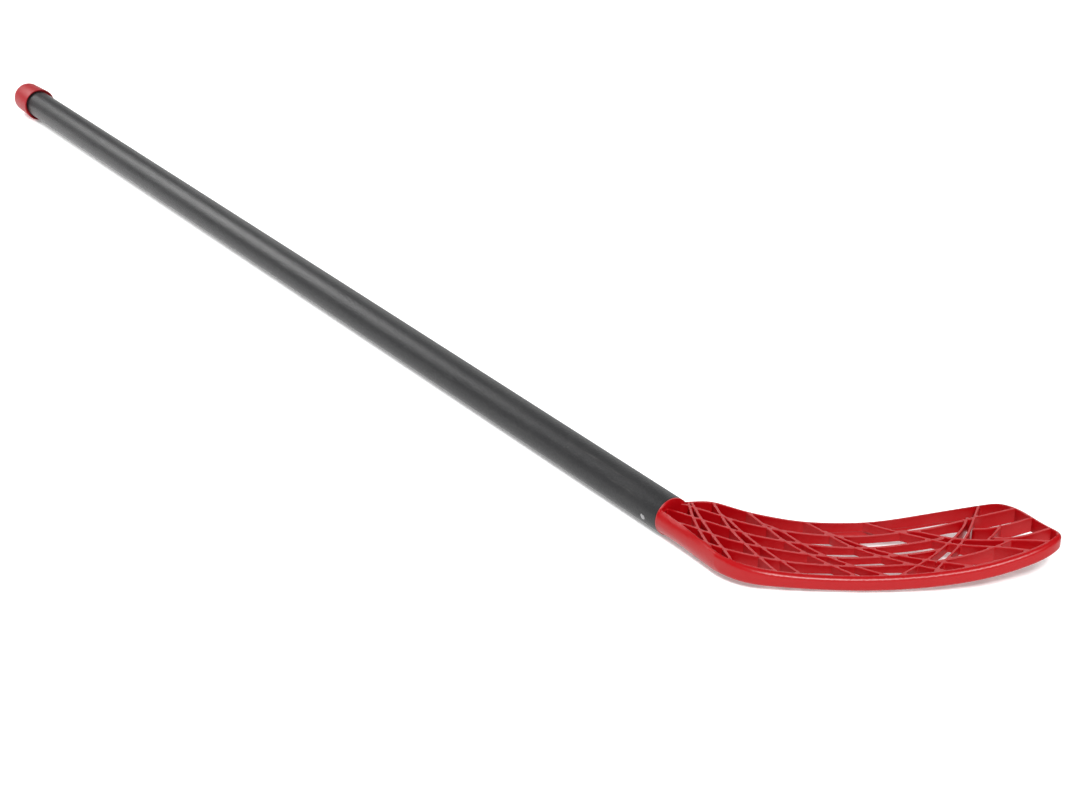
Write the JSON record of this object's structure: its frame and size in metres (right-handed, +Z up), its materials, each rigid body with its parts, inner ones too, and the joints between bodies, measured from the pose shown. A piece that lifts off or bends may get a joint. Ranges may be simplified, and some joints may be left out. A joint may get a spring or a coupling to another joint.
{
  "type": "indoor hockey stick",
  "caption": "Indoor hockey stick with a straight round tube shaft, a hooked lattice blade moulded in one piece and a closed end cap.",
  "frame": {"origin": "on the floor under the middle of the stick's bounding box", "axes": "+X along the shaft from the end cap to the blade, +Y towards the blade's toe, +Z up, with the stick lying on the floor as it rests"},
  "size_m": [1.2071, 0.1704, 0.0303],
  "materials": {
    "shaft_plastic": "dark grey, finely stippled, low sheen",
    "blade_plastic": "red moulded plastic, satin gloss",
    "cap_plastic": "red moulded plastic, satin",
    "pin_steel": "plain bright steel"
  },
  "bodies": {
    "root": {"shaft_tube": "shaft_plastic", "blade": "blade_plastic", "end_cap": "cap_plastic", "blade_pin": "pin_steel"}
  },
  "joints": []
}
